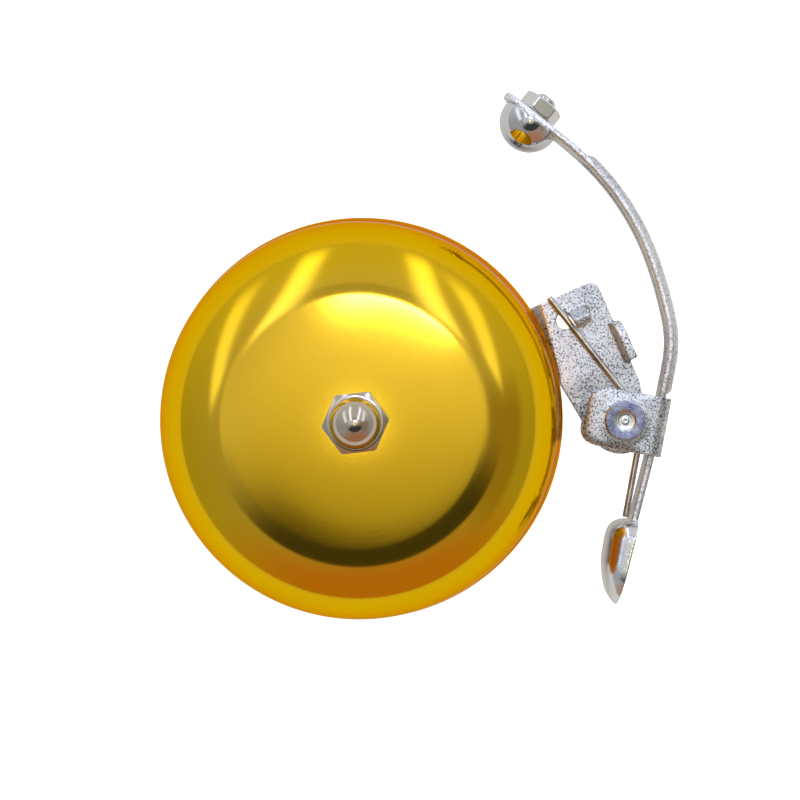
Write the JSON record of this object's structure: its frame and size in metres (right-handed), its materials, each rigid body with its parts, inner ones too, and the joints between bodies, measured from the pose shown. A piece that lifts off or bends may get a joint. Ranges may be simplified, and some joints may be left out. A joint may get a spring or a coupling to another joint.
{
  "type": "bicycle bell",
  "caption": "Hammer bell for a handlebar: a domed metal shell on a clamp, rung by a spring-loaded striker arm with a thumb pad.",
  "frame": {"origin": "centre of the handlebar clamp's bore", "axes": "+X runs along the handlebar, from the bell towards the striker, +Z points from the bar up the shell's axis, and +Y points to the hammer's side"},
  "size_m": [0.0771, 0.0787, 0.0662],
  "materials": {
    "gold_anodised_aluminium": "satin gold anodised, with a polished rim",
    "bright_nickel": "bright nickel plated",
    "zinc_plated_steel": "bright zinc plated pressed sheet, slightly grainy",
    "rivet_steel": "zinc plated, peened",
    "spring_steel": "bright drawn wire",
    "polished_steel": "polished",
    "fastener_steel": "zinc plated",
    "clamp_steel": "zinc plated",
    "fibre": "red-brown vulcanised fibre"
  },
  "bodies": {
    "base": {"clamp_saddle": "clamp_steel", "clamp_strap": "clamp_steel", "clamp_screws": "fastener_steel", "clamp_lock_washers": "fastener_steel", "clamp_nuts": "fastener_steel", "mounting_bracket": "zinc_plated_steel", "centre_stud": "fastener_steel", "stud_lock_washer": "fastener_steel", "stud_nut": "fastener_steel", "support_nut": "fastener_steel", "support_washer": "fastener_steel", "seat_washer": "fibre", "bell_shell": "gold_anodised_aluminium", "acorn_nut": "bright_nickel", "pivot_rivet": "rivet_steel", "rivet_washer": "fastener_steel", "pivot_bush": "fibre", "torsion_spring": "spring_steel"},
    "striker": {"lever_bracket": "zinc_plated_steel", "striker_arm": "zinc_plated_steel", "hammer_head": "polished_steel", "hammer_nut": "fastener_steel"}
  },
  "joints": [
    {"name": "striker_swing", "type": "hinge", "parent": "base", "child": "striker", "pos_m": [0.03876, -0.00022, 0.0185], "axis": [0, 0, 1], "range_deg": [-15, 23.6], "stiffness_Nm_per_rad": 0.12, "springref_deg": 34.95, "deforming": ["torsion_spring"]}
  ]
}
